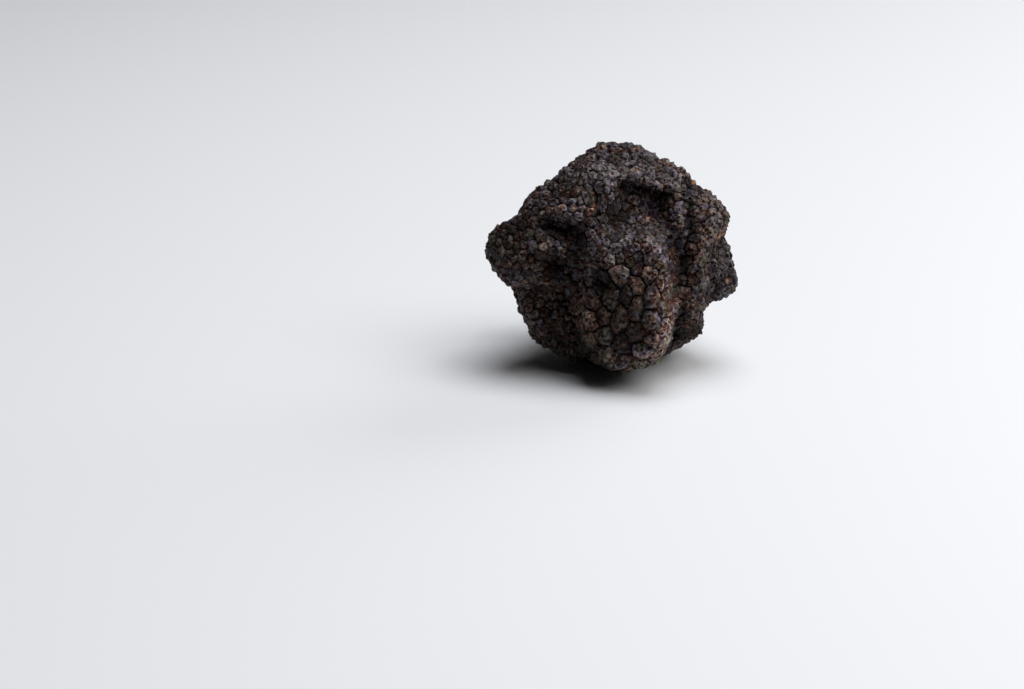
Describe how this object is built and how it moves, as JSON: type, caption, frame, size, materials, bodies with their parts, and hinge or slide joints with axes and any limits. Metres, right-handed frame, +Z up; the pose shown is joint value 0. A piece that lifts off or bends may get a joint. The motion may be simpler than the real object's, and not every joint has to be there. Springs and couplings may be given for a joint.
{
  "type": "black truffle",
  "caption": "Whole black truffle: a dark, lumpy fruiting body with rounded lobes, deep clefts and a skin of low polygonal warts, resting on a small flat spot.",
  "frame": {"origin": "middle of the bounding box's base, on the ground the truffle rests on", "axes": "+Z is up, X is the longest way across, -Y is the front with the large lower lobe"},
  "size_m": [0.053, 0.046, 0.0478],
  "materials": {
    "skin": "matte, dark grey-brown warts with near-black fissures between them"
  },
  "bodies": {
    "root": {"truffle": "skin"}
  },
  "joints": []
}
